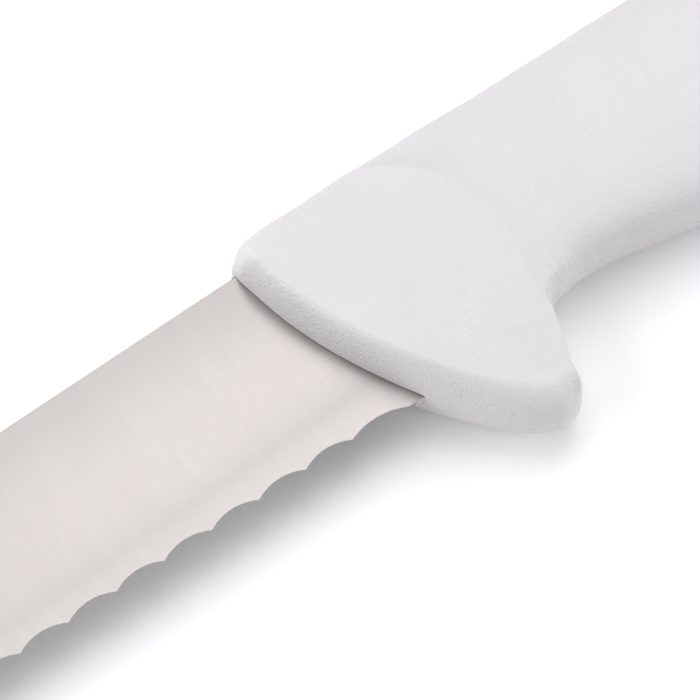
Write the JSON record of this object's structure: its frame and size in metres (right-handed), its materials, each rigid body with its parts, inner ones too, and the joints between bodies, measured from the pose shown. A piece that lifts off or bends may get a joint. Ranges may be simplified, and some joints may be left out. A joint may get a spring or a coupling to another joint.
{
  "type": "bread knife",
  "caption": "Bread knife with a long scalloped stainless blade and a one-piece white moulded handle with a finger guard.",
  "frame": {"origin": "middle of the lower flat cheek of the handle, on which the knife lies", "axes": "+X from the blade towards the butt, along the row of scallop points; +Y from the cutting edge towards the spine; +Z out of the blade's flat side, up when the knife lies down"},
  "size_m": [0.3292, 0.0476, 0.016],
  "materials": {
    "steel": "fine cross-ground stainless steel",
    "plastic": "white polypropylene with a fine moulded grain"
  },
  "bodies": {
    "root": {"blade": "steel", "handle": "plastic"}
  },
  "joints": []
}
